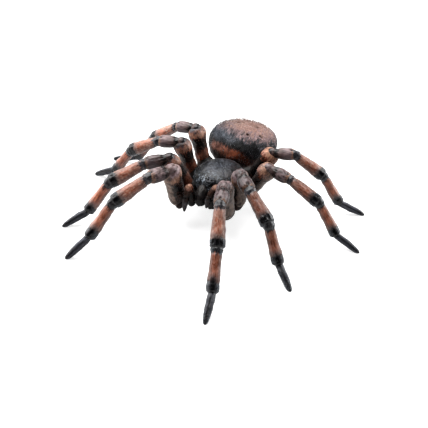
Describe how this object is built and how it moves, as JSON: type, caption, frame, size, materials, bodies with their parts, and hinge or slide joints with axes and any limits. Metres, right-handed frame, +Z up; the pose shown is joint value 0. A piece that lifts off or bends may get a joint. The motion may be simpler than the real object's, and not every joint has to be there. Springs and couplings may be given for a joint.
{
  "type": "tarantula specimen",
  "caption": "Free-standing tarantula specimen set up on its feet, with arched jointed legs, a domed head shield, jaws, palps and a broad round abdomen, for display on a flat surface.",
  "frame": {"origin": "on the floor, under the middle of the bounding box of the standing animal", "axes": "+Z up off the floor, -Y the way the head looks, +X towards the animal's left side"},
  "size_m": [0.122, 0.1156, 0.0321],
  "materials": {
    "shield_slate": "satin slate black with a bluish sheen",
    "abdomen_rose_brown": "satin rose brown above, black band and orange-brown front, fine hair strokes",
    "leg_dark_brown": "satin dark brown with a paler outer end",
    "leg_grey_brown": "satin grey brown with darker streaks",
    "leg_orange_brown": "satin orange brown with black outer knob",
    "leg_black": "satin black"
  },
  "bodies": {
    "root": {"cephalothorax": "shield_slate", "waist": "leg_black", "abdomen": "abdomen_rose_brown", "chelicera_left": "leg_black", "fang_left": "leg_black", "pedipalp_left": "leg_grey_brown", "leg_left_1_coxa": "leg_dark_brown", "leg_left_1_femur": "leg_dark_brown", "leg_left_1_patella": "leg_grey_brown", "leg_left_1_tibia": "leg_orange_brown", "leg_left_1_metatarsus": "leg_orange_brown", "leg_left_1_tarsus": "leg_black", "leg_left_2_coxa": "leg_dark_brown", "leg_left_2_femur": "leg_dark_brown", "leg_left_2_patella": "leg_grey_brown", "leg_left_2_tibia": "leg_orange_brown", "leg_left_2_metatarsus": "leg_orange_brown", "leg_left_2_tarsus": "leg_black", "leg_left_3_coxa": "leg_dark_brown", "leg_left_3_femur": "leg_dark_brown", "leg_left_3_patella": "leg_grey_brown", "leg_left_3_tibia": "leg_orange_brown", "leg_left_3_metatarsus": "leg_orange_brown", "leg_left_3_tarsus": "leg_black", "leg_left_4_coxa": "leg_dark_brown", "leg_left_4_femur": "leg_dark_brown", "leg_left_4_patella": "leg_grey_brown", "leg_left_4_tibia": "leg_orange_brown", "leg_left_4_metatarsus": "leg_orange_brown", "leg_left_4_tarsus": "leg_black", "chelicera_right": "leg_black", "fang_right": "leg_black", "pedipalp_right": "leg_grey_brown", "leg_right_1_coxa": "leg_dark_brown", "leg_right_1_femur": "leg_dark_brown", "leg_right_1_patella": "leg_grey_brown", "leg_right_1_tibia": "leg_orange_brown", "leg_right_1_metatarsus": "leg_orange_brown", "leg_right_1_tarsus": "leg_black", "leg_right_2_coxa": "leg_dark_brown", "leg_right_2_femur": "leg_dark_brown", "leg_right_2_patella": "leg_grey_brown", "leg_right_2_tibia": "leg_orange_brown", "leg_right_2_metatarsus": "leg_orange_brown", "leg_right_2_tarsus": "leg_black", "leg_right_3_coxa": "leg_dark_brown", "leg_right_3_femur": "leg_dark_brown", "leg_right_3_patella": "leg_grey_brown", "leg_right_3_tibia": "leg_orange_brown", "leg_right_3_metatarsus": "leg_orange_brown", "leg_right_3_tarsus": "leg_black", "leg_right_4_coxa": "leg_dark_brown", "leg_right_4_femur": "leg_dark_brown", "leg_right_4_patella": "leg_grey_brown", "leg_right_4_tibia": "leg_orange_brown", "leg_right_4_metatarsus": "leg_orange_brown", "leg_right_4_tarsus": "leg_black"}
  },
  "joints": []
}
